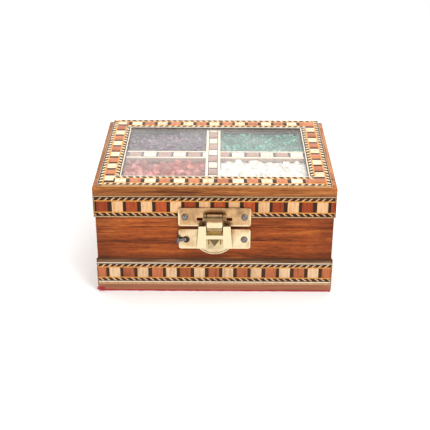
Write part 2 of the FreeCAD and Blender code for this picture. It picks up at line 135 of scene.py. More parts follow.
class InlaySettings(bpy.types.PropertyGroup):
    """Marquetry strips."""
    pitch: length("Block pitch", "From one light block to the next", 18.05)
    light_length: length("Light block", "Length of a light block", 6.8)
    red_length: length("Red block", "Length of a red block", 6.8)
    line_width: length("Line", "Width of the tan lines at both edges", 0.6)
    rope_width: length("Rope", "Width of the black rope borders", 2.45)
    thread_width: length("Thread", "Width of the orange lines beside the blocks", 0.7)
    dash_pitch: length("Dash pitch", "From one rope dash to the next", 4.05)
    dash_length: length("Dash", "Length of a rope dash along the strip", 1.15)
    top_dash_length: length("Top dash", "Length of a rope dash on the top", 1.6)
    top_line: length("Top line", "Width of the thin outer line on the top", 0.35)
    glass_line: length("Glass line", "Width of the pale line beside the glass", 0.6)
    top_thread: length("Top thread", "Width of the golden lines on the top", 0.9)
    piece_depth: length("Piece depth", "Thickness of the cut pieces", 0.45)
    glue_gap: length("Glue gap", "Depth of the dark ground below the pieces' faces", 0.12)
    cap_pitch: length("Cap pitch", "From one light block to the next on the divider caps", 19.3)
    cap_block: length("Cap block", "Length of a block on the divider caps", 8.0)
    cap_edge: length("Cap edge", "Width of the pale edges of the divider caps", 1.6)
    cap_thread: length("Cap thread", "Width of the dark lines on the divider caps", 0.5)
    light: colour("Light wood", "Light blocks and dashes on the top", "#F3DEBA")
    tan: colour("Tan wood", "Light blocks and dashes on the lid's band", "#E6B888")
    worn_tan: colour("Worn tan wood", "Light blocks and dashes on the body's band", "#EBC8A0")
    worn_red: colour("Worn red wood", "Red blocks on the body's band", "#C2744C")
    worn_black: colour("Worn black wood", "Rope ground and spacers on the body's band", "#4A2E1C")
    pale: colour("Bleached wood", "Pale lines and blocks round and under the glass", "#F2E6CF")
    faded: colour("Faded wood", "Pinkish blocks on the divider caps", "#B38470")
    core: colour("Core wood", "Edges of the strips below the veneer", "#D29A60")
    red: colour("Red wood", "Red blocks", "#BA572C")
    faded_red: colour("Faded red wood", "Red blocks on the top, bleached by light", "#CC7E52")
    black: colour("Black wood", "Rope ground and spacers", "#3A2110")
    orange: colour("Orange wood", "Threads beside the blocks", "#DB9A48")
    line: colour("Line wood", "Thin lines at the edges", "#C9AB84")


class FillSettings(bpy.types.PropertyGroup):
    """Loose contents of the tray."""
    grain_size: length("Grain", "Size of the fine grains", 3.3)
    chunk_size: length("Chunk", "Size of the coarse chunks", 6.2)
    purple: colour("Purple grains", "Back left filling", "#4E2646")
    green: colour("Green grains", "Back right filling", "#2C8E76")
    red: colour("Red chunks", "Front left filling", "#BC4A34")
    white: colour("White chunks", "Front right filling", "#F4EDE4")


class CatchSettings(bpy.types.PropertyGroup):
    """Brass and iron fittings."""
    edge_round: length("Edge round", "Rounding of the stamped brass edges", 0.36)
    brass: colour("Brass", "Brass polished by handling", "#E2D2AC")
    tarnish: colour("Tarnish", "Dull brass", "#C79F72")
    iron: colour("Iron", "Nail heads", "#7E7878")
    rust: colour("Rust", "Stains on the nails", "#5B3D2B")


class StageSettings(bpy.types.PropertyGroup):
    """Felt, glass, floor, light and camera."""
    felt: colour("Felt", "Felt under the base", "#B4202B")
    # Pale haze on the pane, partly a dusty film and partly a painted reflection.
    glass: colour("Glass haze", "Dust film on the pane", "#E9E6E1")
    floor: colour("Floor", "Floor and backdrop", "#FAF9F8")
    lens: bpy.props.FloatProperty(
        name="Lens", description="Focal length of the camera", default=78.53, unit="CAMERA"
    )


def shade(rgb, factor):
    """Colour made darker or lighter by a factor."""
    return tuple(min(1.0, c * factor) for c in rgb)


def grain_spacing(axis, along, across):
    """Noise spacing with the long direction on one axis (0, 1 or 2)."""
    return [along if i == axis else across for i in range(3)]


class NodeMaker:
    """Adds nodes to one tree and hands back their outputs."""

    def __init__(self, tree):
        self.tree = tree

    def fill(self, node, inputs):
        """Set a node's inputs, and link those that are given as sockets."""
        for key, value in inputs.items():
            if isinstance(value, bpy.types.NodeSocket):
                self.tree.links.new(value, node.inputs[key])
            else:
                node.inputs[key].default_value = value

    def node(self, kind, inputs=None, **settings):
        """Add one node, set its options and fill its inputs."""
        node = self.tree.nodes.new(kind)
        for key, value in settings.items():
            setattr(node, key, value)
        self.fill(node, inputs or {})
        return node

    def add(self, kind, inputs=None, **settings):
        """First output of a new node."""
        return self.node(kind, inputs, **settings).outputs[0]

    def math(self, operation, *values):
        """Result of one operation on numbers."""
        return self.add("ShaderNodeMath", dict(enumerate(values)), operation=operation)

    def remap(self, value, source, target):
        """Number carried from one range to another and kept inside it."""
        return self.add("ShaderNodeMapRange", dict(enumerate((value, *source, *target))))

    def axes(self, vector):
        """X, Y and Z of a vector."""
        return self.node("ShaderNodeSeparateXYZ", {0: vector}).outputs

    def seen_directly(self):
        """One where a camera or transmission ray arrives, else zero."""
        path = self.node("ShaderNodeLightPath").outputs
        return self.math("MAXIMUM", path["Is Camera Ray"], path["Is Transmission Ray"])


class Surface(NodeMaker):
    """Material in the making: its nodes lead to one Principled shader."""

    def __init__(self, name):
        self.material = bpy.data.materials.new(name)
        self.material.use_nodes = True
        super().__init__(self.material.node_tree)
        self.tree.nodes.clear()
        self.shader = self.node("ShaderNodeBsdfPrincipled")
        self.output = self.node("ShaderNodeOutputMaterial", {"Surface": self.shader.outputs[0]})

    @cached_property
    def place(self):
        """Object coordinates."""
        return self.node("ShaderNodeTexCoord").outputs["Object"]

    def tone(self):
        """Tone of each single piece, from 0 to 1."""
        return self.node("ShaderNodeAttribute", attribute_name="tone").outputs["Fac"]

    def noise(self, spacing_mm, detail=4.0, rough=0.55, distortion=0.0, place=None):
        """Noise whose cells measure spacing_mm along X, Y and Z of the object or of given coordinates."""
        scale = [1 / (step * MM) for step in spacing_mm]
        origin = self.place if place is None else place
        stretched = self.add("ShaderNodeMapping", {"Vector": origin, "Scale": scale})
        inputs = {"Vector": stretched, "Scale": 1.0, "Detail": detail, "Roughness": rough}
        inputs["Distortion"] = distortion
        return self.add("ShaderNodeTexNoise", inputs)

    def ramp(self, factor, *stops):
        """Colour ramp through (position, rgb) stops."""
        node = self.node("ShaderNodeValToRGB", {0: factor})
        elements = node.color_ramp.elements
        while len(elements) < len(stops):
            elements.new(0.5)
        for element, (position, rgb) in zip(elements, stops):
            element.position = position
            element.color = opaque(rgb)
        return node.outputs[0]

    def multiply(self, base, tint, share=1.0):
        """Colour multiplied by another."""
        inputs = {0: share, 6: base, 7: tint}
        return self.node("ShaderNodeMix", inputs, data_type="RGBA", blend_type="MULTIPLY").outputs[2]

    def corner_shade(self, base, reach_mm, *stops):
        """Colour with painted shade darkening the corners, as wide as a reach."""
        inputs = {"Distance": reach_mm * MM}
        openness = self.node("ShaderNodeAmbientOcclusion", inputs, samples=8).outputs["AO"]
        return self.multiply(base, self.ramp(openness, *stops))

    def done(self, inputs, relief=None):
        """Fill the shader, add relief as (height, depth in mm, strength), and hand over the material."""
        self.fill(self.shader, inputs)
        if relief:
            height, depth_mm, strength = relief
            bump = {"Height": height, "Distance": depth_mm * MM, "Strength": strength}
            self.fill(self.shader, {"Normal": self.add("ShaderNodeBump", bump)})
        return self.material


def oiled_rosewood(name, axis, heart, pale, end_tone):
    """Reddish oiled rosewood, sawn and rubbed: flowing grain, dark pores and a soft sheen."""
    look = Surface(name)
    # Walls are darker low down, just above the edging: painted shade.
    low_wall_shade_span = (24 * MM, 29.5 * MM)
    board_ends = (60 * MM, 74 * MM)
    dark = bpy.context.scene.box_wood.dark
    figure = look.noise(grain_spacing(axis, 60, 4.2), 6, 0.62, 0.9)
    wood = look.ramp(figure, (0.3, dark), (0.43, shade(heart, 0.8)), (0.54, heart), (0.68, pale))
    streak = look.noise(grain_spacing(axis, 24, 0.9), 4, 0.6, 0.3)
    pore = look.noise(grain_spacing(axis, 5, 0.75), 3, 0.75, 0.2)
    cloud = look.noise((26, 26, 14), 2)
    for layer, share, stops in (
        (streak, 0.75, [(0.34, (0.42, 0.37, 0.33)), (0.5, WHITE), (0.72, (1.16, 1.16, 1.16))]),
        (pore, 0.7, [(0.36, (0.55, 0.5, 0.47)), (0.5, WHITE), (0.66, (1.22, 1.2, 1.18))]),
        (cloud, 0.7, [(0.3, (0.74, 0.72, 0.72)), (0.52, WHITE)]),
    ):
        wood = look.multiply(wood, look.ramp(layer, *stops), share)
    x, _y, z = look.axes(look.place)
    low_wall_shade = look.remap(z, low_wall_shade_span, (0.45, 1.0))
    ends = look.remap(look.math("ABSOLUTE", x), board_ends, (1.0, end_tone))
    wood = look.multiply(wood, look.math("MULTIPLY", low_wall_shade, ends))
    # The base colour takes painted shade in the corners, under the bands and under the top board.
    return look.done({
        "Base Color": look.corner_shade(wood, 4.5, (0.35, (0.4, 0.33, 0.3)), (0.85, WHITE)),
        "Roughness": look.remap(cloud, (0.3, 0.7), (0.46, 0.3)),
        "Specular IOR Level": 0.12, "Coat Weight": 0.06, "Coat Roughness": 0.18,
    }, (streak, 0.12, 0.35))


def plain_wood(name, rgb, axis):
    """Plain planed softwood, bare and dry."""
    look = Surface(name)
    figure = look.noise(grain_spacing(axis, 50, 2.2), 4, 0.6, 0.4)
    tint = look.ramp(figure, (0.3, shade(rgb, 0.66)), (0.7, shade(rgb, 1.12)))
    return look.done({"Base Color": tint, "Roughness": 0.62}, (figure, 0.08, 0.3))


def worn_edging(name, rgb, pale):
    """Edging rubbed pale along its foot, and darker towards the wall above as painted shade in the corner."""
    look = Surface(name)
    streak = look.noise((22, 22, 1.1), 4, 0.6, 0.3)
    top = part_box("body_front_band")[1].z
    # Darker towards the top, against the wall, as painted shade; paler towards the foot as wear.
    rubbed = look.remap(look.axes(look.place)[2], (top, top - EDGING_HEIGHT), (-0.2, 0.2))
    wear_and_painted_light = look.math("ADD", streak, rubbed)
    worn = look.ramp(wear_and_painted_light, (0.3, shade(rgb, 0.7)), (0.5, shade(rgb, 1.2)), (0.68, pale))
    return look.done({"Base Color": worn, "Roughness": 0.55, "Specular IOR Level": 0.12}, (streak, 0.05, 0.3))


def cut_veneer(name, rgb, spread, grain_depth, gloss):
    """Cut veneer under thin varnish: fine grain across the strip, each piece with its own tone."""
    look = Surface(name)
    place = look.node("ShaderNodeAttribute", attribute_name="strip_place").outputs["Vector"]
    tone = look.tone()
    shift = look.add("ShaderNodeVectorMath", {0: (0.37, 0.11, 0.73), "Scale": tone}, operation="SCALE")
    moved = look.add("ShaderNodeVectorMath", {0: place, 1: shift}, operation="ADD")
    fibre = look.noise((0.95, 11, 11), 4, 0.7, 0.3, moved)
    dark = [c * (1 - grain_depth * k) for c, k in zip(rgb, (0.8, 1.15, 1.4))]
    fibres = look.ramp(fibre, (0.34, dark), (0.52, rgb), (0.75, shade(rgb, 1.08)))
    deepest = [1 - spread * k for k in (1, 1.25, 1.5)]
    return look.done({
        "Base Color": look.multiply(fibres, look.ramp(tone, (0.0, deepest), (1.0, WHITE))),
        "Roughness": look.remap(fibre, (0.3, 0.7), (gloss + 0.14, gloss)),
        "Specular IOR Level": 0.12, "Coat Weight": 0.08, "Coat Roughness": 0.18,
    }, (fibre, 0.05, 0.3))


def polished_brass(name, tone=1.0):
    """Stamped brass: dull on the plates, pale on the bridge as rubbed wear and a painted highlight, with
    painted shade in the corners.
    """
    look = Surface(name)
    fitting = bpy.context.scene.box_catch
    plate_to_bridge = (-54.5 * MM, -57.0 * MM)
    tongue_front = (-55.5 * MM, -56.5 * MM)
    lower_plate = (47 * MM, 42 * MM)
    tongue_roll = (52.6 * MM, 54.0 * MM)
    plate_side, upper_foot, lower_foot = 22.2, 48.75, 32.4
    x, y, z = look.axes(look.place)
    # The bridge standing forward is made paler, partly as rubbed wear and partly as a painted highlight.
    raised = look.remap(y, plate_to_bridge, (-0.12, 0.3))
    low_down = look.remap(z, lower_plate, (0.0, 0.24))
    # The tongue's top, above its roll, is darkened as a painted dark reflection.
    front = look.remap(y, tongue_front, (0.0, 1.0))
    tongue_top_painted_dark = look.remap(z, tongue_roll, (0.0, -0.5))
    rubbed = look.math("ADD", look.math("MULTIPLY_ADD", front, tongue_top_painted_dark, low_down), raised)
    patched = look.math("ADD", look.noise((8, 8, 8), 3, 0.5, 0.2), rubbed)
    # Painted highlights along the plates' side and foot edges, made paler as if their bevels caught the
    # light.
    rim, edge_highlight_width = 0.0, 0.55 * MM
    for along, edge in ((look.math("ABSOLUTE", x), plate_side), (z, upper_foot), (z, lower_foot)):
        rim = look.math("MAXIMUM", look.math("COMPARE", along, edge * MM, edge_highlight_width), rim)
    wear_and_painted_light = look.math("MULTIPLY_ADD", rim, 0.2, patched)
    # A tone below one gives a darker copy of the brass, used as painted shade.
    dull, bright = shade(fitting.tarnish, tone), shade(fitting.brass, tone)
    metal = look.ramp(wear_and_painted_light, (0.24, shade(fitting.tarnish, 0.5 * tone)), (0.44, dull), (0.7, bright))
    # Painted shade darkening the corners and crevices of the brass.
    metal = look.corner_shade(metal, 2.2, (0.25, (0.16, 0.1, 0.05)), (0.75, WHITE))
    # Painted shade by facing: faces tilted slightly upwards and faces turned to either side are darkened,
    # standing in for darker reflections.
    facing = look.axes(look.node("ShaderNodeTexCoord").outputs["Normal"])
    painted_shade_tilted_up = look.ramp(facing[2], (0.04, WHITE), (0.22, (0.3, 0.24, 0.15)), (0.5, WHITE))
    sideways = look.remap(facing[0], (-1.0, 1.0), (0.0, 1.0))
    painted_shade_sideways = look.ramp(
        sideways, (0.3, (0.45, 0.38, 0.28)), (0.44, WHITE), (0.56, WHITE), (0.7, (0.74, 0.68, 0.56))
    )
    return look.done({
        "Base Color": look.multiply(metal, look.multiply(painted_shade_tilted_up, painted_shade_sideways)),
        "Roughness": look.remap(wear_and_painted_light, (0.3, 0.7), (0.4, 0.2)), "Metallic": 1.0,
    }, (look.noise((3.5, 3.5, 0.35), 3, 0.6), 0.03, 0.3))


def bare_iron():
    """Bare iron nails, hammered: dull grey with rust in the hollows."""
    look = Surface("bare_iron")
    fitting = bpy.context.scene.box_catch
    patch = look.noise((1.3, 1.3, 1.3), 4, 0.6)
    metal = look.ramp(patch, (0.34, fitting.rust), (0.5, fitting.iron), (0.75, shade(fitting.iron, 1.35)))
    return look.done({"Base Color": metal, "Metallic": 0.5, "Roughness": 0.46}, (patch, 0.25, 0.6))


def pressed_felt():
    """Pressed wool felt: matt and fuzzy, with a soft sheen."""
    look = Surface("pressed_felt")
    rgb = bpy.context.scene.box_stage.felt
    fibre = look.noise((0.7, 0.7, 0.7), 6, 0.7, 1.2)
    wool = look.ramp(fibre, (0.3, shade(rgb, 0.6)), (0.7, shade(rgb, 1.25)))
    return look.done({"Base Color": wool, "Roughness": 0.95, "Sheen Weight": 0.5}, (fibre, 0.25, 0.7))


def dusty_glass():
    """Thin window glass: clear, with a pale uneven haze that is partly a dusty film and partly a painted
    reflection.
    """
    look = Surface("dusty_glass")
    film = look.noise((34, 24, 24), 5, 0.6, 0.5)
    # The uneven haze is partly a dusty film and partly a painted reflection.
    return look.done({
        "Alpha": look.remap(film, (0.3, 0.72), (0.07, 0.16)),
        "Base Color": opaque(bpy.context.scene.box_stage.glass),
        "Roughness": 0.12, "Coat Weight": 1.0, "Coat Roughness": 0.03,
    })


def crushed_stone(name, rgb, spread, glow, sparkle):
    """Crushed dyed stone: faceted pieces that differ in tone, slightly translucent."""
    look = Surface(name)
    gain, lift = sparkle
    high = [c + (1 - c) * spread * 0.3 for c in rgb]
    bright = [min(1.0, c * gain + lift) for c in rgb]
    tones = look.ramp(look.tone(), (0.0, shade(rgb, 1 - spread)), (0.45, rgb), (0.78, high), (0.9, bright))
    speck = look.noise((1.6, 1.6, 1.6), 3, 0.6)
    drift = look.noise((13, 13, 13), 2)
    stone = look.multiply(tones, look.ramp(speck, (0.3, (0.72, 0.72, 0.72)), (0.65, WHITE)), 0.8)
    stone = look.multiply(stone, look.ramp(drift, (0.36, (0.5, 0.5, 0.5)), (0.6, (1.2, 1.2, 1.2))), spread)
    return look.done({
        "Base Color": stone, "Roughness": 0.34, "Subsurface Weight": glow, "Subsurface Scale": 1.0,
        "Subsurface Radius": (2.2 * MM, 1.6 * MM, 1.4 * MM),
    }, (speck, 0.12, 0.4))


def make_materials():
    """All finishes, by name."""
    wood = bpy.context.scene.box_wood
    inlay = bpy.context.scene.box_inlay
    fill = bpy.context.scene.box_fill
    for axis, (letter, way) in enumerate((("x", "lengthwise"), ("y", "sideways"))):
        MATERIALS.update({
            "board_" + letter: oiled_rosewood("oiled_rosewood_" + way, axis, wood.heart, wood.pale, 0.72),
            "rail_" + letter: oiled_rosewood("worn_rosewood_" + way, axis, wood.rail, wood.rail_pale, 1.2),
            # Divider boards are greyed partly as dust and partly as painted shade under the caps.
            "divider_" + letter: plain_wood("dusty_softwood_" + way, wood.divider, axis),
            "lining_" + letter: plain_wood("planed_softwood_" + way, wood.lining, axis),
        })
    veneers = {
        "light": ("light_lemonwood_veneer", inlay.light, 0.16, 0.34, 0.3),
        "tan": ("tan_lemonwood_veneer", inlay.tan, 0.2, 0.34, 0.3),
        "worn_tan": ("worn_lemonwood_veneer", inlay.worn_tan, 0.2, 0.34, 0.36),
        "worn_red": ("worn_padauk_veneer", inlay.worn_red, 0.42, 0.5, 0.4),
        "worn_black": ("worn_ebony_veneer", inlay.worn_black, 0.3, 0.4, 0.42),
        "red": ("red_padauk_veneer", inlay.red, 0.42, 0.5, 0.34),
        "foot": ("plain_foot_veneer", wood.foot, 0.15, 0.3, 0.45),
        "faded_red": ("faded_padauk_veneer", inlay.faded_red, 0.3, 0.35, 0.34),
        "black": ("black_ebony_veneer", inlay.black, 0.3, 0.4, 0.4),
        "pale": ("bleached_veneer", inlay.pale, 0.1, 0.15, 0.3),
        "faded": ("faded_veneer", inlay.faded, 0.2, 0.3, 0.34),
        # Cap core in the divider colour, greyed partly as dust and partly as painted shade.
        "dust_and_shade": ("dusty_core", wood.divider, 0.1, 0.2, 0.5),
        "core": ("brown_core", inlay.core, 0.2, 0.3, 0.4),
        "line": ("tan_line_veneer", inlay.line, 0.2, 0.35, 0.34),
        "orange": ("orange_veneer", inlay.orange, 0.2, 0.25, 0.34),
    }
    MATERIALS.update({key: cut_veneer(*values) for key, values in veneers.items()})
    MATERIALS.update({
        "base": plain_wood("base_softwood", wood.base, 0),
        # Dark wood used as painted shade on the window's inner edge and in the nail hole.
        "painted_shade": plain_wood("dark_stained_wood", wood.painted_shade, 0),
        "edging": worn_edging("worn_edging_wood", wood.edging, wood.edging_pale),
        "brass": polished_brass("polished_brass"),
        # A darker copy of the brass, painted as shade on the lobe.
        "shaded_brass": polished_brass("stained_brass", 0.4),
        "iron": bare_iron(),
        "felt": pressed_felt(),
        "glass": dusty_glass(),
        "purple": crushed_stone("crushed_purple_stone", fill.purple, 0.7, 0.0, (3.0, 0.1)),
        "green": crushed_stone("crushed_green_stone", fill.green, 0.65, 0.1, (1.7, 0.06)),
        "red_chunks": crushed_stone("red_rock_chunks", fill.red, 0.5, 0.2, (1.15, 0.12)),
        "white_chunks": crushed_stone("white_rock_chunks", fill.white, 0.12, 0.25, (1.0, 0.1)),
    })


def new_piece(name, mesh, body, slot, *nodes):
    """Object at the origin that rides on a body and stands for CAD nodes."""
    piece = scratch_object(name, mesh)
    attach(piece, body)
    if nodes:
        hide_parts(*nodes)
    return piece


def smooth_piece(bm, name, finishes, degrees, body, slot, *nodes):
    """Piece from a bmesh, shaded smooth up to an angle."""
    mesh = mesh_from(bm, name, *finishes)
    smooth_by_angle(mesh, degrees)
    return new_piece(name, mesh, body, slot, *nodes)


def scratch_object(name, mesh):
    """Object linked to the scene."""
    made = bpy.data.objects.new(name, mesh)
    bpy.context.scene.collection.objects.link(made)
    return made


def mesh_from(bm, name, *finishes):
    """Mesh with named finishes from a bmesh, which is freed."""
    mesh = bpy.data.meshes.new(name)
    bm.to_mesh(mesh)
    bm.free()
    imported = mesh.attributes.get("custom_normal")
    if imported:
        mesh.attributes.remove(imported)
    for finish in finishes:
        mesh.materials.append(MATERIALS[finish])
    return mesh


def smooth_by_angle(mesh, degrees):
    """Smooth shading with sharp edges above an angle."""
    mesh.polygons.foreach_set("use_smooth", [True] * len(mesh.polygons))
    mesh.set_sharp_from_angle(angle=math.radians(degrees))


def set_tone(mesh, value):
    """Give a whole mesh one tone."""
    tone = mesh.attributes.new("tone", "FLOAT", "POINT")
    tone.data.foreach_set("value", [value] * len(mesh.vertices))


def block(low, high, bevel=0.0):
    """Box between two corners with bevelled edges, as a bmesh."""
    bm = bmesh.new()
    size = [b - a for a, b in zip(low, high)]
    centre = [(a + b) / 2 for a, b in zip(low, high)]
    place = Matrix.Translation(centre) @ Matrix.Diagonal((*size, 1.0))
    bmesh.ops.create_cube(bm, size=1.0, matrix=place)
    if bevel > 0:
        bmesh.ops.bevel(bm, geom=bm.edges[:], offset=bevel, segments=2, profile=0.6, affect="EDGES")
    return bm


def add_round(bm, radius, depth, place, segments, taper=1.0, material_index=0):
    """Disc or round bar along Z of a place."""
    made = bmesh.ops.create_cone(bm, cap_ends=True, segments=segments, radius1=radius, radius2=radius * taper,
                                 depth=depth, matrix=place)
    for face in {face for vert in made["verts"] for face in vert.link_faces}:
        face.material_index = material_index


def saw_off(bm, place, way):
    """Cut away what lies beyond a plane, and give the parts of the cut."""
    everything = bm.verts[:] + bm.edges[:] + bm.faces[:]
    sawn = bmesh.ops.bisect_plane(bm, geom=everything, plane_co=place, plane_no=way, clear_outer=True)
    return sawn["geom_cut"]


def cad_copy(node):
    """Copy of a CAD node's mesh with its points merged, as a bmesh."""
    bm = bmesh.new()
    bm.from_mesh(frame["nodes"][node].data)
    bmesh.ops.remove_doubles(bm, verts=bm.verts, dist=1e-6)
    return bm


def round_off(bm, edges, offset, segments):
    """Round some edges."""
    bmesh.ops.bevel(bm, geom=edges, offset=offset, segments=segments, profile=0.5, affect="EDGES",
                    clamp_overlap=True)


def finished_copy(node, round_edges, segments=3):
    """Copy of a CAD node with merged faces and rounded edges, as a bmesh."""
    flat, sharp = math.radians(1), math.radians(28)
    bm = cad_copy(node)
    bmesh.ops.dissolve_limit(bm, angle_limit=flat, verts=bm.verts, edges=bm.edges)
    edges = [e for e in bm.edges if len(e.link_faces) == 2 and e.calc_face_angle(0) > sharp]
    if round_edges > 0:
        round_off(bm, edges, round_edges, segments)
    return bm


def body_of(node):
    """Body that carries a CAD node."""
    return frame["nodes"][node]["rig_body"]


def dress_copy(node, finish, round_edges, slot, segments=3):
    """Replace a CAD node by its copy with rounded edges."""
    bm = finished_copy(node, round_edges, segments)
    smooth_piece(bm, node + "_finish", [finish], METAL_ANGLE, body_of(node), slot, node)


def board_piece(node, finish, slot, box=None):
    """Board with softened edges in place of a CAD board, in its own box or a given one."""
    bm = block(*(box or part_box(node)), bpy.context.scene.box_wood.edge_round)
    smooth_piece(bm, node + "_board", [finish], BOARD_ANGLE, body_of(node), slot, node)


def evaluated_mesh(source, tree, values):
    """Plain mesh that a node tree makes, with its modifier removed again."""
    modifier = source.modifiers.new("maker", "NODES")
    modifier.node_group = tree
    for item in tree.interface.items_tree:
        if item.item_type == "SOCKET" and item.in_out == "INPUT" and item.name in values:
            modifier[item.identifier] = values[item.name]
    bpy.context.view_layer.update()
    graph = bpy.context.evaluated_depsgraph_get()
    mesh = bpy.data.meshes.new_from_object(
        source.evaluated_get(graph), preserve_all_data_layers=True, depsgraph=graph
    )
    source.modifiers.remove(modifier)
    return mesh


class GeometryTree(NodeMaker):
    """Geometry node tree with named inputs, which ends in toned pieces of one material."""

    def __init__(self, name, **sockets):
        super().__init__(bpy.data.node_groups.new(name, "GeometryNodeTree"))
        interface = self.tree.interface
        inputs = {"Geometry": "Geometry", **sockets, "Seed": "Int", "Material": "Material"}
        for socket, kind in inputs.items():
            interface.new_socket(socket, in_out="INPUT", socket_type="NodeSocket" + kind)
        interface.new_socket("Geometry", in_out="OUTPUT", socket_type="NodeSocketGeometry")
        self.given = self.node("NodeGroupInput").outputs

    def combine(self, **axes):
        """Vector from some of its axes."""
        return self.add("ShaderNodeCombineXYZ", axes)

    def draw(self, low, high):
        """Random number for each element."""
        inputs = {2: low, 3: high, 8: self.given["Seed"]}
        return self.node("FunctionNodeRandomValue", inputs, data_type="FLOAT").outputs[1]

    def store(self, geometry, name, value, domain):
        """Geometry that keeps a number for each element."""
        inputs = {"Geometry": geometry, "Name": name, "Value": value}
        return self.add("GeometryNodeStoreNamedAttribute", inputs, data_type="FLOAT", domain=domain)

    def close(self, instances):
        """Tone and realise the instances, set their material and end the tree."""
        toned = self.store(instances, "tone", self.draw(0.0, 1.0), "INSTANCE")
        real = self.add("GeometryNodeRealizeInstances", {"Geometry": toned})
        done = self.add("GeometryNodeSetMaterial", {"Geometry": real, "Material": self.given["Material"]})
        self.node("NodeGroupOutput", {"Geometry": done})
        return self.tree


def tessera_row_tree():
    """Row of one cut piece along X: a fixed pitch, small slips, and ends trimmed to the strip."""
    shortest = 0.12
    row = GeometryTree("tessera_row", Shape="Object", Length="Float", Pitch="Float", First="Float",
                       Piece="Float", Slip="Float")
    given = row.given
    half = row.math("MULTIPLY", given["Piece"], 0.5)
    reach = row.math("ADD", row.math("SUBTRACT", given["Length"], given["First"]), half)
    steps = row.math("DIVIDE", reach, given["Pitch"])
    points = row.add("GeometryNodeMeshLine", {
        "Count": row.math("FLOOR", row.math("ADD", steps, 1.0)),
        "Start Location": row.combine(X=given["First"]), "Offset": row.combine(X=given["Pitch"]),
    }, mode="OFFSET")
    slip = row.draw(row.math("MULTIPLY", given["Slip"], -1.0), given["Slip"])
    x = row.math("ADD", row.axes(row.add("GeometryNodeInputPosition"))[0], slip)
    low = row.math("MAXIMUM", row.math("SUBTRACT", x, half), 0.0)
    high = row.math("MINIMUM", row.math("ADD", x, half), given["Length"])
    fit = row.math("DIVIDE", row.math("SUBTRACT", high, low), given["Piece"])
    middle = row.math("MULTIPLY", row.math("ADD", high, low), 0.5)
    kept = row.store(points, "fit", fit, "POINT")
    kept = row.add("GeometryNodeSetPosition", {"Geometry": kept, "Position": row.combine(X=middle)})
    fit = row.add("GeometryNodeInputNamedAttribute", {"Name": "fit"}, data_type="FLOAT")
    short = row.add("FunctionNodeCompare", {0: fit, 1: shortest}, operation="LESS_THAN")
    kept = row.add("GeometryNodeDeleteGeometry", {"Geometry": kept, "Selection": short}, domain="POINT")
    shape = row.node("GeometryNodeObjectInfo", {"Object": given["Shape"]}).outputs["Geometry"]
    return row.close(row.add("GeometryNodeInstanceOnPoints", {
        "Points": kept, "Instance": shape, "Scale": row.combine(X=fit, Y=1.0, Z=1.0),
    }))


def heap_tree():
    """Pieces scattered over a heap, each with its own turn, size and tone."""
    densest = 4.0e6
    heap = GeometryTree("heap_of_pieces", Pieces="Collection", Distance="Float", Smallest="Float",
                        Largest="Float", Sink="Float")
    given = heap.given
    points = heap.add("GeometryNodeDistributePointsOnFaces", {
        "Mesh": given["Geometry"], "Distance Min": given["Distance"], "Density Max": densest,
        "Seed": given["Seed"],
    }, distribute_method="POISSON")
    down = heap.combine(Z=heap.math("MULTIPLY", given["Sink"], -1.0))
    pieces = {"Collection": given["Pieces"], "Separate Children": True, "Reset Children": True}
    turn = {1: (FULL_TURN,) * 3, 8: given["Seed"]}
    return heap.close(heap.add("GeometryNodeInstanceOnPoints", {
        "Points": heap.add("GeometryNodeSetPosition", {"Geometry": points, "Offset": down}),
        "Instance": heap.add("GeometryNodeCollectionInfo", pieces), "Pick Instance": True,
        "Rotation": heap.add("FunctionNodeRandomValue", turn, data_type="FLOAT_VECTOR"),
        "Scale": heap.draw(given["Smallest"], given["Largest"]),
    }))


def join_meshes(name, meshes):
    """One mesh from several, keeping materials and attributes."""
    parts = [scratch_object(name, mesh) for mesh in meshes]
    with bpy.context.temp_override(active_object=parts[0], selected_editable_objects=parts):
        bpy.ops.object.join()
    mesh = parts[0].data
    bpy.data.objects.remove(parts[0])
    return mesh


def cut_piece(size, lean):
    """One cut veneer piece, its face at z 0: a box, or a slanted bar if it leans."""
    bevel = 0.1 * MM
    bm = block((-size[0] / 2, 0, -size[2]), (size[0] / 2, size[1], 0), bevel)
    for vert in bm.verts:
        vert.co.x += lean * (vert.co.y / size[1] - 0.5)
    return mesh_from(bm, "cut_piece")


def plain_strip(low, high, finish):
    """Continuous strip of one wood, with the tone of a middling piece."""
    bevel, middling = 0.08 * MM, 0.6
    mesh = mesh_from(block(low, high, bevel), "plain_strip", finish)
    set_tone(mesh, middling)
    return mesh


def trim_ends(mesh, start, stop):
    """Saw a row of pieces off flush at both ends of its strip."""
    bm = bmesh.new()
    bm.from_mesh(mesh)
    for place, way in ((start, -1), (stop, 1)):
        sawn = saw_off(bm, (place, 0, 0), (way, 0, 0))
        rim = [item for item in sawn if isinstance(item, bmesh.types.BMEdge)]
        bmesh.ops.holes_fill(bm, edges=rim, sides=0)
    bm.to_mesh(mesh)
    bm.free()


